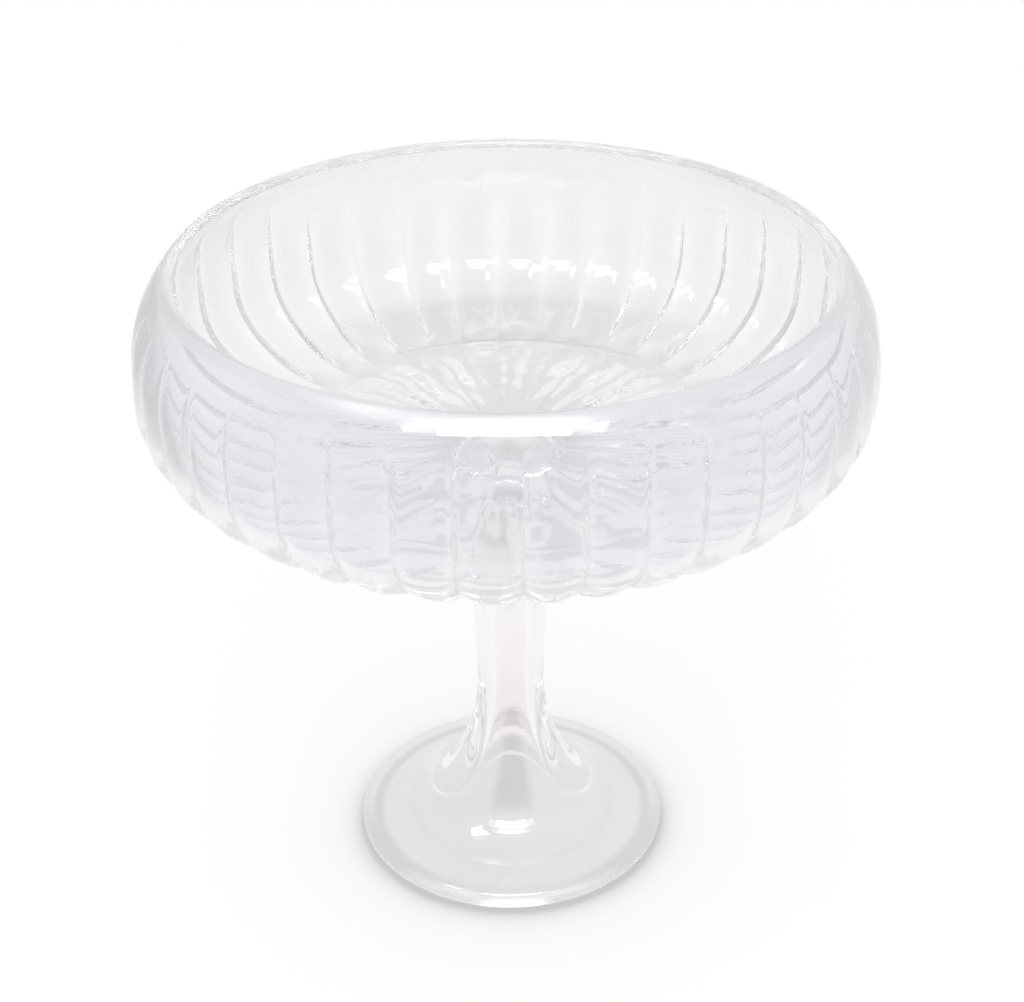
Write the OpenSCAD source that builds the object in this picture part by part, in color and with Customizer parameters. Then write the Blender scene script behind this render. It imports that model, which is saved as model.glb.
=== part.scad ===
// Footed salad bowl in clear glass: a lobed bowl, the wafer of glass that joins it, and a hollow pedestal.
// Millimetres, +Z up, origin at the middle of the resting face, front towards -Y.

/* [Bowl] */
// Widest diameter, over the crests of the lobes
bowl_d = 250; // [210:1:300]
// Diameter over the rim
rim_d = 225; // [180:1:235]
// Height from the flat underside to the top of the rim
bowl_h = 76; // [68:1:100]
// Height of the widest ring above the flat underside
belly_h = 39; // [32:1:48]
// Squareness of the turn from wall to underside, 2 being an ellipse
turn_power = 2.45; // [2:0.05:3]
// How far the curve of the turn would run below the underside if nothing flattened it
turn_sink = 9; // [4:0.5:14]
// Softness of the change from the turn to the flat underside
turn_blend = 3; // [1:0.5:6]
// How late the upper wall turns towards the rim, 2 being a parabola
shoulder_power = 2.6; // [1.5:0.05:4]
// Thickness of the rounded rim
rim_t = 3.6; // [3:0.1:7]
// Thickness of the upper wall
wall_t = 3.6; // [2.5:0.1:5]
// Thickness of the wall where it meets the floor
corner_t = 4.4; // [3:0.1:7]
// Thickness of the middle of the floor
floor_t = 7; // [4:0.1:10]
// Diameter of the ring where the inside of the wall meets the floor
floor_ring_d = 189; // [160:1:200]

/* [Lobes] */
// Number of lobes round the bowl
lobe_count = 40; // [24:1:48]
// Depth of the grooves between lobes, at their deepest
lobe_depth = 2.4; // [0.5:0.1:3]
// Depth of the hollow flute inside each lobe
flute_depth = 1.3; // [0:0.1:1.5]
// Height of the inside ridge over each groove
ridge_h = 0.5; // [0.2:0.1:1.5]
// Height above the underside at which the lobes have faded out
lobe_top_h = 66; // [52:1:70]
// Turn of the first groove from the front
lobe_turn = 3; // [0:0.5:9]

/* [Joining wafer] */
// Diameter of the wafer at the bowl; below, it runs in to the top of the stem
wafer_d = 40; // [36:0.5:50]
// Thickness of the wafer
wafer_t = 4; // [2:0.5:8]
// Width of the plain pad left round the wafer on the underside of the bowl
pad_margin = 3; // [1:0.5:8]

/* [Pedestal] */
// Height of the pedestal
pedestal_h = 152; // [120:1:190]
// Diameter of the foot
foot_d = 114; // [95:1:140]
// Thickness of the rounded edge of the foot
foot_edge_t = 8; // [6:0.5:12]
// Width of the flat ring that the foot rests on
rest_ring_w = 3; // [2:0.5:10]
// Step up from the resting ring to the hollow underside
recess_h = 3; // [1:0.5:5]
// Narrowest diameter of the stem
stem_d = 24.4; // [20:0.2:30]
// Height of the narrowest place of the stem
waist_h = 66; // [50:1:80]
// Diameter of the stem at its top, under the wafer
stem_top_d = 34; // [31:0.5:36]
// How late the stem widens on its way up, 1 being a straight taper
stem_swell = 1.5; // [1:0.1:3]
// Diameter of the bore at its narrowest, above the hollow foot
bore_d = 10.4; // [6:0.2:14]
// Diameter of the bore near its closed top
bore_top_d = 13; // [6:0.2:18]
// Height at which the bore starts to flare into the hollow foot
bore_flare_h = 68; // [50:1:80]
// Solid glass left above the bore
bore_cap_t = 14; // [8:1:40]

/* [Hidden] */
$fn = 96;

bowl_glass = [0.84, 0.84, 0.9, 0.5];
pedestal_glass = [0.86, 0.85, 0.85, 0.5];

bowl_z = pedestal_h + wafer_t;
belly_r = bowl_d / 2;
pad_r = wafer_d / 2 + pad_margin;
floor_ring_r = floor_ring_d / 2;

function arc(mid, r, angles) = [for (a = angles) mid + r * [cos(a), sin(a)]];

// The rim is a round bead; the lean of the wall there, the middle of the bead, and the point where
// the outside of the wall runs onto it
bead_r = rim_t / 2;
rim_lean = atan(shoulder_power * (belly_r - rim_d / 2) / (bowl_h - bead_r - belly_h));
bead = [rim_d / 2 - bead_r, bowl_h - bead_r];
bead_start = bead + bead_r * [cos(rim_lean), sin(rim_lean)];
bead_angles = [(rim_lean + 90) / 2, 90, (rim_lean + 270) / 2, rim_lean + 180];

// Rows of points along the outline, and points across one lobe
lower_steps = 10;
upper_steps = 4;
inner_steps = 5;
floor_steps = 3;
lobe_steps = 4;
columns = lobe_count * lobe_steps;

// Outside of the wall over the crests: u runs from 0 at the pad to 1 at the belly and 2 at the bead
function turn_angle(r) = acos(pow(r / belly_r, turn_power / 2));
pad_angle = turn_angle(pad_r);
function flattened(h) = (h + norm([h, turn_blend])) / 2;
function turn_h(a) =
    flattened(belly_h - (belly_h + turn_sink) * pow(sin(a) / sin(pad_angle), 2 / turn_power));
function lower_point(a) = [
    belly_r * pow(cos(a), 2 / turn_power),
    belly_h * (turn_h(a) - turn_h(pad_angle)) / (turn_h(0) - turn_h(pad_angle))
];
function upper_point(t) = [
    belly_r - (belly_r - bead_start.x) * pow(t, shoulder_power),
    belly_h + (bead_start.y - belly_h) * t
];
function outer_point(u) = u < 1 ? lower_point(pad_angle * (1 - u)) : upper_point(u - 1);
function outward(u, reach = 0.02) =
    let (d = outer_point(min(u + reach, 2)) - outer_point(max(u - reach, 0)))
    [d.y, -d.x] / norm(d);

// Lobes fade out above the belly; outside they run out under the turn, inside they end at the floor ring
function ramp(x) = let (t = min(max(x, 0), 1)) t * t * (3 - 2 * t);
lobe_full_h = 0.87 * belly_h;
function lobe_share(p, start, length) =
    ramp((lobe_top_h - p.y) / (lobe_top_h - lobe_full_h)) * ramp((p.x - floor_ring_r - start) / length);
function outer_share(p) = lobe_share(p, -2.5, 15);
function inner_share(p) = lobe_share(p, -1.5, 5);

// Inside of the wall: the outside moved in by a thickness that grows from the belly to rim and floor
corner_u = 1 - turn_angle(floor_ring_r + corner_t / 2) / pad_angle;
function wall_at(u) = u > 1
    ? wall_t + (rim_t - wall_t) * ramp(u - 1)
    : wall_t + (corner_t - wall_t) * ramp((1 - u) / (1 - corner_u));
function inner_point(u) = outer_point(u) - wall_at(u) * outward(u);

// Inside of the floor: almost level from the foot of the wall to the middle
corner = inner_point(corner_u);
function floor_point(t) = [corner.x * t, floor_t + (corner.y - floor_t) * t * t];

// One row for each ring of points: place, outward direction, depth at the groove, height of the ridge
function outer_row(u) =
    let (p = outer_point(u)) [p, outward(u), lobe_depth * outer_share(p), 0];
function inner_row(u) =
    let (p = inner_point(u), share = inner_share(p))
    [p, outward(u), flute_depth * share, ridge_h * share];
function floor_row(t) = [floor_point(t), [0, -1], 0, 0];
rows = concat(
    [for (i = [0 : lower_steps]) outer_row(i / lower_steps)],
    [for (i = [1 : upper_steps]) outer_row(1 + i / upper_steps)],
    [for (p = arc(bead, bead_r, bead_angles)) [p, [1, 0], 0, 0]],
    [for (i = [upper_steps - 1 : -1 : 0]) inner_row(1 + i / upper_steps)],
    [for (i = [1 : inner_steps]) inner_row(1 + (corner_u - 1) * i / inner_steps)],
    [for (i = [floor_steps - 1 : -1 : 1]) floor_row(i / floor_steps)]
);

// Across a lobe t runs from one groove at -1 over the crest at 0 towards the next groove
function across(j) = 2 * (j % lobe_steps) / lobe_steps - 1;
function lobe_point(row, j) =
    let (
        t = across(j),
        sunk = row[2] * t * t + row[3] * (t == -1 ? 1 : 0),
        p = row[0] - sunk * row[1],
        a = lobe_turn - 90 + 360 * j / columns
    )
    [p.x * cos(a), p.x * sin(a), p.y];

module bowl() {
    points = concat(
        [for (row = rows, j = [0 : columns - 1]) lobe_point(row, j)],
        [[0, 0, 0], [0, 0, floor_t]]
    );
    under = len(rows) * columns;
    top = (len(rows) - 1) * columns;
    faces = concat(
        [for (i = [0 : len(rows) - 2], j = [0 : columns - 1])
            let (k = (j + 1) % columns) each [
                [i * columns + j, (i + 1) * columns + k, i * columns + k],
                [i * columns + j, (i + 1) * columns + j, (i + 1) * columns + k]
            ]],
        [for (j = [0 : columns - 1]) [under, j, (j + 1) % columns]],
        [for (j = [0 : columns - 1]) [under + 1, top + (j + 1) % columns, top + j]]
    );
    color(bowl_glass)
        translate([0, 0, bowl_z])
            polyhedron(points, faces, convexity = 6);
}

module joining_wafer() {
    top_r = wafer_d / 2;
    low_r = stem_top_d / 2;
    color(pedestal_glass)
        translate([0, 0, pedestal_h])
            rotate_extrude()
                polygon([[0, 0], [low_r, 0], [top_r, wafer_t], [0, wafer_t]]);
}

module pedestal() {
    edge_r = foot_edge_t / 2;
    edge_x = foot_d / 2 - edge_r;
    stem_r = stem_d / 2;
    bore_r = bore_d / 2;
    bore_top_r = bore_top_d / 2;
    recess_r = edge_x - rest_ring_w;
    bore_top = pedestal_h - bore_cap_t - bore_top_r;
    function stem_point(t) = [
        stem_r + (stem_top_d / 2 - stem_r) * pow(t, stem_swell),
        waist_h + (pedestal_h - waist_h) * t
    ];
    // A quarter ellipse, upright at the stem and level at the foot
    function flare(foot, stem, a) = [
        foot.x - (foot.x - stem.x) * cos(a),
        stem.y - (stem.y - foot.y) * sin(a)
    ];
    outside = concat(
        [for (t = [1 : -0.1 : 0.05]) stem_point(t)],
        [for (a = [0 : 6 : 84]) flare([edge_x, foot_edge_t], [stem_r, waist_h], a)],
        arc([edge_x, edge_r], edge_r, [90 : -15 : -90])
    );
    inside = concat(
        [[recess_r, 0]],
        [for (a = [90 : -6 : 0]) flare([recess_r, recess_h], [bore_r, bore_flare_h], a)],
        arc([0, bore_top], bore_top_r, [0 : 15 : 90])
    );
    color(pedestal_glass)
        rotate_extrude()
            polygon(concat([[0, pedestal_h]], outside, inside));
}

bowl();
joining_wafer();
pedestal();
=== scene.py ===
import math

import bpy
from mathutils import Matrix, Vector


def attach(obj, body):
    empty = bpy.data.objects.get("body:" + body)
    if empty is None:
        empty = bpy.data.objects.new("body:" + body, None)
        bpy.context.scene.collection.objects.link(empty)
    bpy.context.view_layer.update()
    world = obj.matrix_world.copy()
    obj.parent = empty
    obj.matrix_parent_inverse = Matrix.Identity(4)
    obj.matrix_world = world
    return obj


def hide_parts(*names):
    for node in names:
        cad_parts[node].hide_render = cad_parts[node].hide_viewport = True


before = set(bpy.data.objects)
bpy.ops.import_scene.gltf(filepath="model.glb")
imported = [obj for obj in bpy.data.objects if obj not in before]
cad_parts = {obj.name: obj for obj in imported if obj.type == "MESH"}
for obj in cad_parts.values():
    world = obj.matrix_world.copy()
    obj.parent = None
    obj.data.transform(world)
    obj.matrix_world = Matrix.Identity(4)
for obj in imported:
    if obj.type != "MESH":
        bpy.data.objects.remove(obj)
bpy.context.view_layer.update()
mm = 0.001
print("frame loaded:", ", ".join(sorted(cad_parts)))


class Wire:  # a socket that takes part in Python expressions; each operator adds its Math node
    def __init__(self, tree, socket=None):
        self.tree = tree
        self.socket = socket

    def node(self, kind, settings=None, sockets=None, out=0):
        made = self.tree.nodes.new(kind)
        for name, value in (settings or {}).items():
            setattr(made, name, value)
        for name, value in (sockets or {}).items():
            if isinstance(value, Wire):
                self.tree.links.new(value.socket, made.inputs[name])
            else:
                made.inputs[name].default_value = value
        return Wire(self.tree, made.outputs[out] if len(made.outputs) else None)

    def out(self, name):  # another output of the same node
        return Wire(self.tree, self.socket.node.outputs[name])

    def math(self, operation, *values):
        return self.node("ShaderNodeMath", {"operation": operation}, dict(enumerate(values)))

    def __add__(self, other):
        return self.math("ADD", self, other)

    def __radd__(self, other):
        return self.math("ADD", other, self)

    def __sub__(self, other):
        return self.math("SUBTRACT", self, other)

    def __rsub__(self, other):
        return self.math("SUBTRACT", other, self)

    def __mul__(self, other):
        return self.math("MULTIPLY", self, other)

    def __rmul__(self, other):
        return self.math("MULTIPLY", other, self)

    def __truediv__(self, other):
        return self.math("DIVIDE", self, other)

    def __rtruediv__(self, other):
        return self.math("DIVIDE", other, self)

    def __pow__(self, other):
        return self.math("POWER", self, other)

    def ramp(self, low, high):  # smooth step from 0 at low to 1 at high
        settings = {"interpolation_type": "SMOOTHSTEP"}
        return self.node("ShaderNodeMapRange", settings, {"Value": self, "From Min": low, "From Max": high})

    def blend(self, first, second):  # from one colour to another as this value goes from 0 to 1
        sockets = {"Factor": self, 6: first, 7: second}  # 6, 7 and output 2 are a Mix node's colours
        return self.node("ShaderNodeMix", {"data_type": "RGBA"}, sockets, out=2)

    def noise(self, scale, detail):  # at the place that this vector gives
        return self.node("ShaderNodeTexNoise", {}, {"Vector": self, "Scale": scale, "Detail": detail})

    def split(self):  # X, Y and Z of this vector
        parts = self.node("ShaderNodeSeparateXYZ", {}, {0: self})
        return parts, parts.out("Y"), parts.out("Z")

    def join(self, x, y, z):
        return self.node("ShaderNodeCombineXYZ", {}, {"X": x, "Y": y, "Z": z})


# Glass

glassLook = {  # shared by bowl and pedestal
    "ior": 1.5,
    "streakDetail": 2,
    "streakReach": (0.35, 0.65),  # of the noise, from the tint to the tint of the streaks
    "lineSharpness": 6,  # how narrow the less polished bottoms of the grooves are
}
bowlGlassLook = {
    **glassLook,
    "tint": (0.918, 0.917, 0.945),  # left of the light after one wall
    "streakTint": (0.937, 0.933, 0.95),
    "streakScale": 26,
    "roughness": 0.03,
    "edgeRoughness": 0.28,  # of the fire-polished rim
    "edgeReach": (228 * mm, 230 * mm),
    "lineRoughness": 0.14,
    "paintedLightTint": (0.985, 0.983, 1.0),  # painted highlight: a paler tint in the grooves and on the rim, for the bright lines there
}
pedestalGlassLook = {
    **glassLook,
    "tint": (0.968, 0.946, 0.942),
    "streakTint": (0.995, 0.99, 0.985),
    "streakScale": 24,
    "roughness": 0.02,
    "edgeRoughness": 0.16,
    "edgeReach": (9 * mm, 5 * mm),  # the edge of the foot
    "lineRoughness": 0.0,  # it has no grooves
    # painted highlight: the edge of the foot is painted paler
    "paintedLightTint": (0.995, 0.99, 0.985),
}


def newMaterial(name):
    material = bpy.data.materials.new(name)
    material.use_nodes = True
    material.node_tree.nodes.clear()
    return material, Wire(material.node_tree)


def clearGlass(name, look):
    material, wire = newMaterial(name)
    place = wire.node("ShaderNodeTexCoord", out="Object")
    streaks = place.noise(look["streakScale"], look["streakDetail"]).ramp(*look["streakReach"])
    color = streaks.blend((*look["tint"], 1), (*look["streakTint"], 1))
    edge = place.split()[2].ramp(*look["edgeReach"])
    groove = wire.node("ShaderNodeAttribute", {"attribute_name": "line"}, out="Fac")
    # the grooves and the edge are painted paler, a painted highlight along them
    lined = wire.math("MAXIMUM", groove, edge).blend(color, (*look["paintedLightTint"], 1))
    edgeRough = edge * (look["edgeRoughness"] - look["roughness"])
    lineRough = groove ** look["lineSharpness"] * look["lineRoughness"]
    rough = edgeRough + lineRough + look["roughness"]
    shader = wire.node(
        "ShaderNodeBsdfPrincipled", {},
        {"Base Color": lined, "Roughness": rough, "IOR": look["ior"], "Transmission Weight": 1},
    )
    wire.node("ShaderNodeOutputMaterial", {}, {"Surface": shader})
    return material


def bondedGlass(name):  # where two pieces are fused, light passes straight on
    material, wire = newMaterial(name)
    sockets = {"Alpha": 0, "Roughness": 0.0, "Transmission Weight": 1}
    shader = wire.node("ShaderNodeBsdfPrincipled", {}, sockets)
    wire.node("ShaderNodeOutputMaterial", {}, {"Surface": shader})
    return material


bowlGlass = clearGlass("bowl glass", bowlGlassLook)
pedestalGlass = clearGlass("pedestal glass", pedestalGlassLook)
bondGlass = bondedGlass("fused glass")
print("glass mixed")


# Turned pieces: a profile spun round the axis, with lobes where its rows ask for them

turningForm = {
    "crowding": 0.8,  # columns stand closer at the grooves
    "wholeGuard": 0.001,  # keeps a whole number from being rounded down
    "swaySeed": 7,
    "noiseDetail": 1,
    "driftRise": 12,  # how much the bars on the floor wander on their way out
    "driftTurn": 4,
    "mergeDistance": 0.002 * mm,
    "bondLimit": 0.99,
}
treeInputs = {
    "Geometry": ("Profile",),
    "Int": ("Lobes", "Steps"),
    "Float": (
        "Turn", "Sway", "Groove Rounding", "Ridge Width", "Notch Width",
        "Ripple Scale", "Streak Scale", "Bars",
    ),
    "Material": ("Glass", "Bond"),
}


def turnedGlassTree(form):
    tree = bpy.data.node_groups.new("turned glass", "GeometryNodeTree")
    for kind, names in treeInputs.items():
        for name in names:
            tree.interface.new_socket(name, in_out="INPUT", socket_type="NodeSocket" + kind)
    tree.interface.new_socket("Piece", in_out="OUTPUT", socket_type="NodeSocketGeometry")
    wire = Wire(tree)
    given = wire.node("NodeGroupInput")
    profile, lobes, steps = given.out("Profile"), given.out("Lobes"), given.out("Steps")
    columns = lobes * steps
    rows = wire.node("GeometryNodeAttributeDomainSize", {"component": "MESH"}, {"Geometry": profile})
    gridSize = {"Size X": 1, "Size Y": 1, "Vertices X": columns + 1, "Vertices Y": rows}
    grid = wire.node("GeometryNodeMeshGrid", {}, gridSize)
    across, along, _ = wire.node("GeometryNodeInputPosition").split()  # each from -0.5 to 0.5
    column = wire.math("ROUND", (across + 0.5) * columns)
    row = wire.math("ROUND", (along + 0.5) * (rows - 1))

    def fromRow(kind, field):  # a value of the profile's point in this row
        sockets = {"Geometry": profile, "Value": field, "Index": row}
        return wire.node("GeometryNodeSampleIndex", {"data_type": kind}, sockets)

    def stored(kind, name):
        return wire.node("GeometryNodeInputNamedAttribute", {"data_type": kind}, {"Name": name})

    def ofRow(name):
        return fromRow("FLOAT", stored("FLOAT", name))

    def marked(geometry, name, value):  # keeps a value on the points of the piece
        settings = {"data_type": "FLOAT", "domain": "POINT"}
        sockets = {"Geometry": geometry, "Name": name, "Value": value}
        return wire.node("GeometryNodeStoreNamedAttribute", settings, sockets)

    # across a lobe t runs from one groove at -1 over the crest to the next groove at 1
    lobe = wire.math("FLOOR", column / steps + form["wholeGuard"])
    even = 2 * (column / steps - lobe) - 1
    t = even + wire.math("SINE", even * math.pi) * (form["crowding"] / math.pi)
    pitch = 2 * math.pi / lobes

    def grooveAngle(number):
        whole = wire.math("MODULO", number, lobes)
        sockets = {2: -1.0, 3: 1.0, "ID": whole, "Seed": form["swaySeed"]}  # 2 and 3 are least and most
        sway = wire.node("FunctionNodeRandomValue", {"data_type": "FLOAT"}, sockets, out=1)
        return (number + sway * given.out("Sway")) * pitch + given.out("Turn")

    share = (t + 1) / 2
    angle = grooveAngle(lobe) * (1 - share) + grooveAngle(lobe + 1) * share
    gap = 1 - wire.math("ABSOLUTE", t)  # 0 in the groove, 1 on the crest
    rounded = wire.math("SQRT", gap * gap + given.out("Groove Rounding") ** 2)
    grooveForm = (1 - rounded) ** 2
    ridgeForm = wire.math("EXPONENT", (gap / given.out("Ridge Width")) ** 2 * -1)
    notchForm = wire.math("EXPONENT", (gap / given.out("Notch Width")) ** 2 * -1)

    cosine, sine = wire.math("COSINE", angle), wire.math("SINE", angle)
    pointX, _, pointZ = fromRow("FLOAT_VECTOR", wire.node("GeometryNodeInputPosition")).split()
    outwardX, _, outwardZ = fromRow("FLOAT_VECTOR", stored("FLOAT_VECTOR", "outward")).split()
    plain = wire.join(pointX * cosine, pointX * sine, pointZ)
    ripple = plain.noise(given.out("Ripple Scale"), form["noiseDetail"]) - 0.5
    around = wire.join(cosine, sine, pointX * form["driftRise"])
    drift = around.noise(given.out("Streak Scale"), form["noiseDetail"]) - 0.5
    streak = wire.math("COSINE", angle * given.out("Bars") + drift * form["driftTurn"]) / 2
    sunk = (
        ofRow("groove") * grooveForm + ofRow("ridge") * ridgeForm + ofRow("notch") * notchForm
        + ofRow("ripple") * ripple + ofRow("streak") * streak
    )
    radius = pointX - sunk * outwardX
    height = pointZ - sunk * outwardZ
    lined = marked(marked(grid, "bonded", ofRow("bond")), "line", ofRow("line") * ridgeForm)
    turned = wire.join(radius * cosine, radius * sine, height)
    spun = wire.node("GeometryNodeSetPosition", {}, {"Geometry": lined, "Position": turned})
    sockets = {"Geometry": spun, "Distance": form["mergeDistance"]}
    closed = wire.node("GeometryNodeMergeByDistance", {}, sockets)
    smooth = wire.node("GeometryNodeSetShadeSmooth", {}, {"Geometry": closed, "Shade Smooth": True})
    whole = wire.node("GeometryNodeRealizeInstances", {}, {"Geometry": smooth})
    glazed = wire.node("GeometryNodeSetMaterial", {}, {"Geometry": whole, "Material": given.out("Glass")})
    fused = wire.math("GREATER_THAN", stored("FLOAT", "bonded"), form["bondLimit"])
    sockets = {"Geometry": glazed, "Material": given.out("Bond"), "Selection": fused}
    bonded = wire.node("GeometryNodeSetMaterial", {}, sockets)
    wire.node("NodeGroupOutput", {}, {"Piece": bonded})
    return tree


turnedGlass = turnedGlassTree(turningForm)
rowValues = ("groove", "ridge", "notch", "ripple", "streak", "line", "bond")


def row(radius, height, outward=(1, 0), **values):
    place = {"point": (radius, 0, height), "outward": (outward[0], 0, outward[1])}
    return {**place, **dict.fromkeys(rowValues, 0), **values}


def fusedFace(radius, height):  # a flat disc, from the axis outwards
    return [row(r, height, bond=1) for r in (0, radius / 2, radius)]


def turnPiece(name, rows, settings, glass):
    profile = bpy.data.meshes.new(name)
    profile.from_pydata([r["point"] for r in rows], [(i, i + 1) for i in range(len(rows) - 1)], [])
    outward = profile.attributes.new("outward", "FLOAT_VECTOR", "POINT")
    for value, r in zip(outward.data, rows):
        value.vector = r["outward"]
    for key in rowValues:
        numbers = profile.attributes.new(key, "FLOAT", "POINT")
        for value, r in zip(numbers.data, rows):
            value.value = r[key]
    piece = bpy.data.objects.new(name, profile)
    bpy.context.collection.objects.link(piece)
    modifier = piece.modifiers.new("turned", "NODES")
    modifier.node_group = turnedGlass
    values = {**settings, "Glass": glass, "Bond": bondGlass}
    for socket in turnedGlass.interface.items_tree:
        if socket.name in values:
            modifier[socket.identifier] = values[socket.name]
    depsgraph = bpy.context.evaluated_depsgraph_get()
    mesh = bpy.data.meshes.new_from_object(piece.evaluated_get(depsgraph), depsgraph=depsgraph)
    piece.modifiers.remove(modifier)
    piece.data = mesh
    used = [face.material_index - 1 for face in mesh.polygons]  # the tree leaves its first slot empty
    mesh.materials.clear()
    mesh.materials.append(glass)
    mesh.materials.append(bondGlass)
    mesh.polygons.foreach_set("material_index", used)
    mesh.name = name
    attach(piece, "root")
    print(name, "turned:", len(mesh.polygons), "faces")
    return piece


def spread(low, high, count):
    return [low + (high - low) * i / (count - 1) for i in range(count)]


def toward(low, high, share):
    return low + (high - low) * share


def arc(middle, radius, start, end, count):
    turns = [math.radians(a) for a in spread(start, end, count)]
    return [(middle[0] + radius * math.cos(a), middle[1] + radius * math.sin(a)) for a in turns]


def easeStep(x):
    t = min(max(x, 0), 1)
    return t * t * (3 - 2 * t)


def between(value, ends):  # smooth step from 0 at the first end to 1 at the second
    return easeStep((value - ends[0]) / (ends[1] - ends[0]))


def unit(x, y):
    length = math.hypot(x, y)
    return x / length, y / length


# Bowl

joinSettings = {
    "pedestalTop": 152 * mm,
    "bowlPad": 156 * mm,
    "waferRadius": 20 * mm,
    "stemTopRadius": 17 * mm,
}
bowlSettings = {
    "bellyRadius": 125 * mm,
    "rimRadius": 112.5 * mm,
    "rim": 232 * mm,
    "bellyRise": 39 * mm,  # height of the widest ring above the underside
    "turnPower": 2.45,  # squareness of the turn from wall to underside
    "turnSink": 9 * mm,  # how far the curve of the turn would run below the flat underside
    "turnBlend": 3 * mm,
    "shoulderPower": 2.6,  # how late the upper wall turns in
    "rimThickness": 3.6 * mm,
    "wallThickness": 3.6 * mm,
    "cornerThickness": 4.4 * mm,
    "floorThickness": 7 * mm,
    "floorRingRadius": 94.5 * mm,
    "padRadius": 23 * mm,
    "lobeDepth": 2.4 * mm,
    "notchDepth": 0.34 * mm,  # of the fine notch at the bottom of each groove
    "notchFade": (68 * mm, 56 * mm),
    "lineFade": (60 * mm, 36 * mm),  # where the bottoms of the grooves, rougher and painted paler as a painted highlight, fade into the rest
    "fluteDepth": 1.3 * mm,
    "ridgeHeight": 0.5 * mm,
    "lobeFade": (66 * mm, 34 * mm),  # heights between which the lobes fade out upwards
    "grooveEnd": (74 * mm, 112 * mm),  # the grooves run out under the turn
    "ridgeEnd": (84 * mm, 100 * mm),  # the inside ridges end at the floor ring
    "flatRadius": 79 * mm,  # of the floor, inside the rounded foot of the wall
    "footShare": 0.25,  # of the inside of the turn that its rounded foot takes up
    "ripple": 0.35 * mm,
    "rippleStart": (0, 1 / 3),  # along the wall, which is 0 at the pad, 1 at the belly and 2 at the rim
    "rippleEnd": (1.8, 1.3),
    "floorRipple": (0, 1 / 3),  # shares of the floor's radius
    "floorStreak": 1.3 * mm,
    "streakStart": (0.16, 0.56),
    "streakEnd": 0.2,  # how far from the foot of the wall the bars fade
    "floorWave": (0.5 * mm, 5.5 * mm, 62 * mm),  # height and length of the rings, and where they start
    "rowCounts": {"pad": 4, "turn": 56, "shoulder": 20, "bead": 14, "wall": 26, "foot": 18, "floor": 40},
}
bowlTurning = {
    "Lobes": 40, "Steps": 12, "Turn": math.radians(3 - 90), "Sway": 0.05,
    "Groove Rounding": 0.12, "Ridge Width": 0.42, "Notch Width": 0.1,
    "Ripple Scale": 45.0, "Streak Scale": 6.0, "Bars": 24.0,
}


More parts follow.
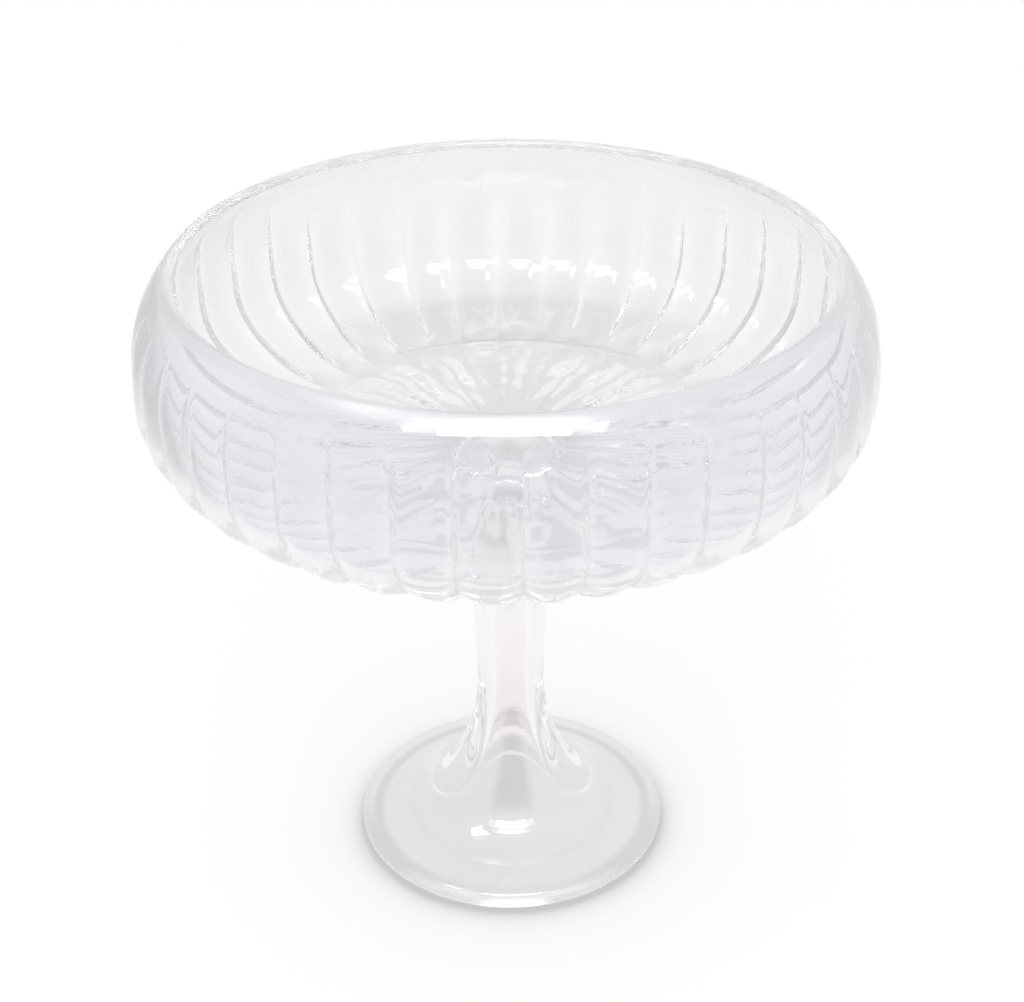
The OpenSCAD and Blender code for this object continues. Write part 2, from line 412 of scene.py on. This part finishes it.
def bowlRows(s, join):
    counts = s["rowCounts"]
    padLow = join["bowlPad"]
    rise = s["rim"] - padLow
    belly, bellyRise = s["bellyRadius"], s["bellyRise"]
    beadRadius = s["rimThickness"] / 2
    bead = (s["rimRadius"] - beadRadius, rise - beadRadius)
    lean = math.atan(s["shoulderPower"] * (belly - s["rimRadius"]) / (bead[1] - bellyRise))
    beadStart = (bead[0] + beadRadius * math.cos(lean), bead[1] + beadRadius * math.sin(lean))

    def turnAngle(radius):
        return math.acos((radius / belly) ** (s["turnPower"] / 2))

    padAngle = turnAngle(s["padRadius"])

    def turnRise(a):  # the curve of the turn runs smoothly into the flat underside
        drop = (bellyRise + s["turnSink"]) * (math.sin(a) / math.sin(padAngle)) ** (2 / s["turnPower"])
        height = bellyRise - drop
        return (height + math.hypot(height, s["turnBlend"])) / 2

    padRise = turnRise(padAngle)

    def outer(u):  # 0 at the pad, 1 at the belly, 2 at the bead
        if u < 1:
            a = padAngle * (1 - u)
            radius = belly * math.cos(a) ** (2 / s["turnPower"])
            return radius, (turnRise(a) - padRise) * bellyRise / (turnRise(0) - padRise)
        t = u - 1
        return toward(belly, beadStart[0], t ** s["shoulderPower"]), toward(bellyRise, beadStart[1], t)

    def outward(u, reach=0.02):
        low, high = outer(max(u - reach, 0)), outer(min(u + reach, 2))
        return unit(high[1] - low[1], low[0] - high[0])

    cornerU = 1 - turnAngle(s["floorRingRadius"] + s["cornerThickness"] / 2) / padAngle

    def wall(u):
        if u > 1:
            return toward(s["wallThickness"], s["rimThickness"], easeStep(u - 1))
        return toward(s["wallThickness"], s["cornerThickness"], easeStep((1 - u) / (1 - cornerU)))

    def inner(u):
        point, way, thick = outer(u), outward(u), wall(u)
        return point[0] - thick * way[0], point[1] - thick * way[1]

    ring = inner(cornerU)

    def floor(t):
        high, length, start = s["floorWave"]
        radius = ring[0] * t
        wave = high * math.sin(2 * math.pi * (ring[0] - radius) / length) * between(radius, (start, ring[0]))
        return radius, toward(s["floorThickness"], ring[1], t * t) + wave

    def rippleShare(u):
        return between(u, s["rippleStart"]) * between(u, s["rippleEnd"])

    def outsideRow(u):
        x, y = outer(u)
        end = between(x, s["grooveEnd"])
        return row(
            x, padLow + y, outward(u), groove=s["lobeDepth"] * between(y, s["lobeFade"]) * end,
            notch=s["notchDepth"] * between(y, s["notchFade"]) * end,
            line=between(y, s["lineFade"]) * end, ripple=s["ripple"] * rippleShare(u),
        )

    def insideRow(point, way, ripple=1, streak=0):
        x, y = point
        share = between(y, s["lobeFade"]) * between(x, s["ridgeEnd"])
        return row(
            x, padLow + y, way, groove=s["fluteDepth"] * share, ridge=s["ridgeHeight"] * share, line=share,
            ripple=s["ripple"] * ripple, streak=s["floorStreak"] * streak,
        )

    rows = fusedFace(join["waferRadius"], padLow)
    rows += [row(r, padLow) for r in spread(join["waferRadius"], s["padRadius"], counts["pad"])[1:-1]]
    upwards = spread(0, 1, counts["turn"]) + spread(1, 2, counts["shoulder"])[1:]
    rows += [outsideRow(u) for u in upwards]
    leanTurn = math.degrees(lean)
    beadArc = arc(bead, beadRadius, leanTurn, leanTurn + 180, counts["bead"])
    rows += [row(x, padLow + y) for x, y in beadArc[1:-1]]

    # the ring where wall and floor meet is rounded off by a short curve
    nearU = toward(cornerU, 1, s["footShare"])
    nearT = s["flatRadius"] / ring[0]
    downwards = spread(2, 1, counts["shoulder"]) + spread(1, nearU, counts["wall"])[1:]
    rows += [insideRow(inner(u), outward(u), rippleShare(u)) for u in downwards]
    wallEnd, wallWay, floorStart = inner(nearU), outward(nearU), floor(nearT)
    slopeReach = 0.01
    below, above = inner(nearU - slopeReach), inner(nearU + slopeReach)
    slope = (above[1] - below[1]) / (above[0] - below[0])
    bendX = wallEnd[0] - (wallEnd[1] - floorStart[1]) / slope
    bend = (bendX, floorStart[1])  # where wall and floor would meet
    for t in spread(0, 1, counts["foot"])[1:-1]:
        ends = zip(wallEnd, bend, floorStart)
        point = [a * (1 - t) ** 2 + 2 * b * t * (1 - t) + c * t * t for a, b, c in ends]
        rows.append(insideRow(point, unit(wallWay[0] * (1 - t), wallWay[1] * (1 - t) - t)))
    for t in spread(nearT, 0, counts["floor"]):
        streak = between(t, s["streakStart"]) * between(t, (nearT, nearT - s["streakEnd"]))
        rows.append(insideRow(floor(t), (0, -1), between(t, s["floorRipple"]), streak))
    return rows


bowl = turnPiece("salad_bowl", bowlRows(bowlSettings, joinSettings), bowlTurning, bowlGlass)
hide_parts("bowl")


# Joining wafer

plainTurning = {**bowlTurning, "Lobes": 120, "Steps": 2, "Turn": 0.0, "Sway": 0.0}
waferRowCount = 5


def waferRows(join):
    low, high = join["pedestalTop"], join["bowlPad"]
    rows = fusedFace(join["stemTopRadius"], low)
    for t in spread(0, 1, waferRowCount)[1:-1]:
        rows.append(row(toward(join["stemTopRadius"], join["waferRadius"], t), toward(low, high, t)))
    return rows + fusedFace(join["waferRadius"], high)[::-1]


wafer = turnPiece("glass_wafer", waferRows(joinSettings), plainTurning, pedestalGlass)
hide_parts("joining_wafer")


# Pedestal

pedestalSettings = {
    "footRadius": 57 * mm,
    "edgeThickness": 8 * mm,
    "restRing": 3 * mm,
    "recess": 3 * mm,
    "recessRun": 14 * mm,  # over which the hollow rises behind the resting ring
    "stemRadius": 12.2 * mm,
    "waist": 66 * mm,
    "stemSwell": 1.5,
    "boreRadius": 5.2 * mm,
    "boreTopRadius": 6.5 * mm,
    "boreFlare": 68 * mm,
    "boreCap": 14 * mm,
    "rowCounts": {"stem": 20, "flare": 40, "edge": 24, "recess": 20, "hollow": 44, "bore": 14, "boreEnd": 12},
}
pedestalTurning = {**plainTurning, "Lobes": 240}


def pedestalRows(s, join):
    counts = s["rowCounts"]
    top, stemTop = join["pedestalTop"], join["stemTopRadius"]
    stem, waist, bore = s["stemRadius"], s["waist"], s["boreRadius"]
    edge = s["edgeThickness"] / 2
    edgeX = s["footRadius"] - edge
    recessX = edgeX - s["restRing"]
    hollowX = recessX - s["recessRun"]
    boreTop = top - s["boreCap"] - s["boreTopRadius"]

    def flare(low, high, turn):  # a quarter ellipse, upright at the stem and level at the foot
        a = math.radians(turn)
        return low[0] - (low[0] - high[0]) * math.cos(a), high[1] - (high[1] - low[1]) * math.sin(a)

    points = []
    for t in spread(1, 0, counts["stem"])[1:-1]:
        points.append((toward(stem, stemTop, t ** s["stemSwell"]), toward(waist, top, t)))
    for turn in spread(0, 90, counts["flare"])[:-1]:
        points.append(flare((edgeX, s["edgeThickness"]), (stem, waist), turn))
    points += arc((edgeX, edge), edge, 90, -90, counts["edge"])
    for t in spread(0, 1, counts["recess"]):
        points.append((recessX - s["recessRun"] * t, s["recess"] * easeStep(t)))
    for turn in spread(90, 0, counts["hollow"])[1:]:
        points.append(flare((hollowX, s["recess"]), (bore, s["boreFlare"]), turn))
    for t in spread(0, 1, counts["bore"])[1:-1]:
        points.append((toward(bore, s["boreTopRadius"], t), toward(s["boreFlare"], boreTop, t)))
    points += arc((0, boreTop), s["boreTopRadius"], 0, 90, counts["boreEnd"])
    rows = fusedFace(stemTop, top) + [row(max(x, 0), y) for x, y in points]
    return rows[::-1]  # the spin's faces look outwards when the outside is listed upwards


footRows = pedestalRows(pedestalSettings, joinSettings)
pedestal = turnPiece("pedestal_foot", footRows, pedestalTurning, pedestalGlass)
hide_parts("pedestal")


# Stage

stageSettings = {
    "floorHalf": 6.0,
    "floorPaint": 0.9,
    "cameraShare": 0.96,  # share of plain white in the floor that the camera sees
    "glassShare": 0.96,  # the same for the floor seen in the glass
    "glassWhite": 0.955,
    "shades": (  # place, reach and depth of the bowl's shades on the floor behind it
        (0.36, 0.05, 0.14, 0.17),
        (0.235, 0.06, 0.08, 0.15),
    ),
    "footShade": 0.14,  # of the foot on the floor under it
    "footReach": (0.05, 0.075),
    "ringShade": 0.12,  # of the edge of the foot
    "ringReach": (0.047, 0.0505, 0.0515, 0.0545),
    "stemShade": 0.14,  # of the stem on the floor behind it
    "stemHalf": (5 * mm, 11 * mm),
    "stemShadeStart": (-5 * mm, 5 * mm),
    "stemShadeEnd": (45 * mm, 65 * mm),
    "leftFall": 0.32,  # painted falloff of light: the floor seen in the glass grows darker to the sides and to the front
    "rightFall": 0.22,
    "frontFall": 0.3,
    "fallReach": (0.18, 0.5),
    "contact": ((40 * mm, 0.45), (150 * mm, 0.45)),  # reach and depth of the shadow round the foot
    "contactTone": 0.58,  # darkest place of that shadow
    "contactSamples": 16,
    "worldTone": 0.95,  # of the room behind the bowl
    "frontTone": 0.85,
    "leftTone": 0.8,
    "rightTone": 0.86,
    "depthReach": (-0.7, 0.3),  # of the view's direction, from the front to the back of the room
    "sideReach": (0.3, 0.85),
    "lampAim": (0, -0.1, 0.2),
    "lamps": {  # width, height, watts, distance, turn from the front, rise
        "key softbox": (0.92, 0.2, 16, 1.5, 0, 50.5),
        "strip light": (1.5, 0.2, 3, 1.52, 0, 52),
        "left window": (0.3, 0.24, 3.3, 1.5, -60, 52),
    },
}


def makeFloor(s):
    half = s["floorHalf"]
    mesh = bpy.data.meshes.new("floor")
    corners = [(-half, -half, 0), (half, -half, 0), (half, half, 0), (-half, half, 0)]
    mesh.from_pydata(corners, [], [(0, 1, 2, 3)])
    floor = bpy.data.objects.new("floor", mesh)
    bpy.context.collection.objects.link(floor)
    material, wire = newMaterial("white floor")
    light = wire.node("ShaderNodeLightPath")
    camera = light.out("Is Camera Ray")
    glass = wire.math("MAXIMUM", light.out("Is Glossy Ray"), light.out("Is Transmission Ray")) * (1 - camera)
    share = camera * s["cameraShare"] + glass * s["glassShare"]

    # the floor that the camera sees is white, with a soft shadow round the foot
    lit = 1
    for reach, depth in s["contact"]:
        samples = {"samples": s["contactSamples"]}
        clear = wire.node("ShaderNodeAmbientOcclusion", samples, {"Distance": reach}, out="AO")
        lit = lit - (1 - clear) * depth
    lit = wire.math("MAXIMUM", lit, s["contactTone"])

    # the floor seen in the glass has the shades of foot, stem and bowl
    x, y, _ = wire.node("ShaderNodeTexCoord", out="Object").split()
    ground = wire.math("SQRT", x * x + y ** 2)
    ringStart, ringFull, ringFade, ringEnd = s["ringReach"]
    ring = ground.ramp(ringStart, ringFull) * (1 - ground.ramp(ringFade, ringEnd))
    shaded = 1 - (1 - ground.ramp(*s["footReach"])) * s["footShade"] - ring * s["ringShade"]
    stripe = (1 - wire.math("ABSOLUTE", x).ramp(*s["stemHalf"])) * y.ramp(*s["stemShadeStart"])
    stripe = stripe * (1 - y.ramp(*s["stemShadeEnd"]))
    shaded = shaded - stripe * s["stemShade"]
    for middle, low, high, depth in s["shades"]:
        away = wire.math("SQRT", x * x + (y - middle) ** 2)
        shaded = shaded - (1 - away.ramp(low, high)) * depth
    # painted pool of light: darker to the left, right and front
    left, right = (x * -1).ramp(*s["fallReach"]), x.ramp(*s["fallReach"])
    front = (y * -1).ramp(*s["fallReach"])
    sides = (1 - left * s["leftFall"] - right * s["rightFall"]) * (1 - front * s["frontFall"])

    diffuse = wire.node("ShaderNodeBsdfDiffuse", {}, {"Color": (*[s["floorPaint"]] * 3, 1)})
    tone = camera * lit + glass * shaded * sides * s["glassWhite"]
    glow = wire.node("ShaderNodeEmission", {}, {"Color": tone, "Strength": 1})
    mixed = wire.node("ShaderNodeMixShader", {}, {0: share, 1: diffuse, 2: glow})
    wire.node("ShaderNodeOutputMaterial", {}, {"Surface": mixed})
    mesh.materials.append(material)


def makeWorld(s):
    world = bpy.data.worlds.new("studio")
    bpy.context.scene.world = world
    world.use_nodes = True
    world.node_tree.nodes.clear()
    wire = Wire(world.node_tree)
    x, y, _ = wire.node("ShaderNodeTexCoord", out="Generated").split()
    camera = wire.node("ShaderNodeLightPath", out="Is Camera Ray")
    near, far = s["sideReach"]
    left, right = x.ramp(-near, -far), x.ramp(near, far)
    sides = 1 - left * (1 - s["leftTone"]) - right * (1 - s["rightTone"])
    depth = y.ramp(*s["depthReach"]) * (s["worldTone"] - s["frontTone"]) + s["frontTone"]
    tone = wire.math("MAXIMUM", camera, depth * sides)  # plain white to the camera
    back = wire.node("ShaderNodeBackground", {}, {"Color": tone, "Strength": 1})
    wire.node("ShaderNodeOutputWorld", {}, {"Surface": back})


def makeLamp(name, aim, width, height, watts, away, turn, rise):
    lamp = bpy.data.lights.new(name, "AREA")
    lamp.shape = "RECTANGLE"
    lamp.size = width
    lamp.size_y = height
    lamp.energy = watts
    made = bpy.data.objects.new(name, lamp)
    side, high = math.radians(turn), math.radians(rise)
    level = math.cos(high)
    made.location = aim + away * Vector((level * math.sin(side), -level * math.cos(side), math.sin(high)))
    made.rotation_euler = (aim - made.location).to_track_quat("-Z", "Y").to_euler()
    bpy.context.collection.objects.link(made)


makeFloor(stageSettings)
makeWorld(stageSettings)
for lampName, lampSettings in stageSettings["lamps"].items():
    makeLamp(lampName, Vector(stageSettings["lampAim"]), *lampSettings)
print("stage lit")


# Camera

cameraSettings = {
    "place": (0.01345, -0.6240, 0.5007),
    "pitch": 0.5254,
    "focalPixels": 2050,
    "middlePixel": 547,
    "imageWidth": 1024,
    "sensorWidth": 36,
}


def makeCamera(s):
    lens = bpy.data.cameras.new("camera")
    lens.sensor_fit = "HORIZONTAL"
    lens.sensor_width = s["sensorWidth"]
    lens.lens = s["focalPixels"] / s["imageWidth"] * s["sensorWidth"]
    lens.shift_x = 0.5 - s["middlePixel"] / s["imageWidth"]
    camera = bpy.data.objects.new("camera", lens)
    camera.location = s["place"]
    camera.rotation_euler = (math.pi / 2 - s["pitch"], 0, 0)
    bpy.context.collection.objects.link(camera)
    bpy.context.scene.camera = camera


makeCamera(cameraSettings)
print("camera placed")

glassBounces = 256  # light passes many walls of glass
clearBounces = 16
scene = bpy.context.scene
scene.view_settings.view_transform = "Standard"
scene.cycles.max_bounces = glassBounces
scene.cycles.transmission_bounces = glassBounces
scene.cycles.glossy_bounces = glassBounces
scene.cycles.caustics_refractive = False
scene.cycles.caustics_reflective = False
scene.cycles.transparent_max_bounces = clearBounces
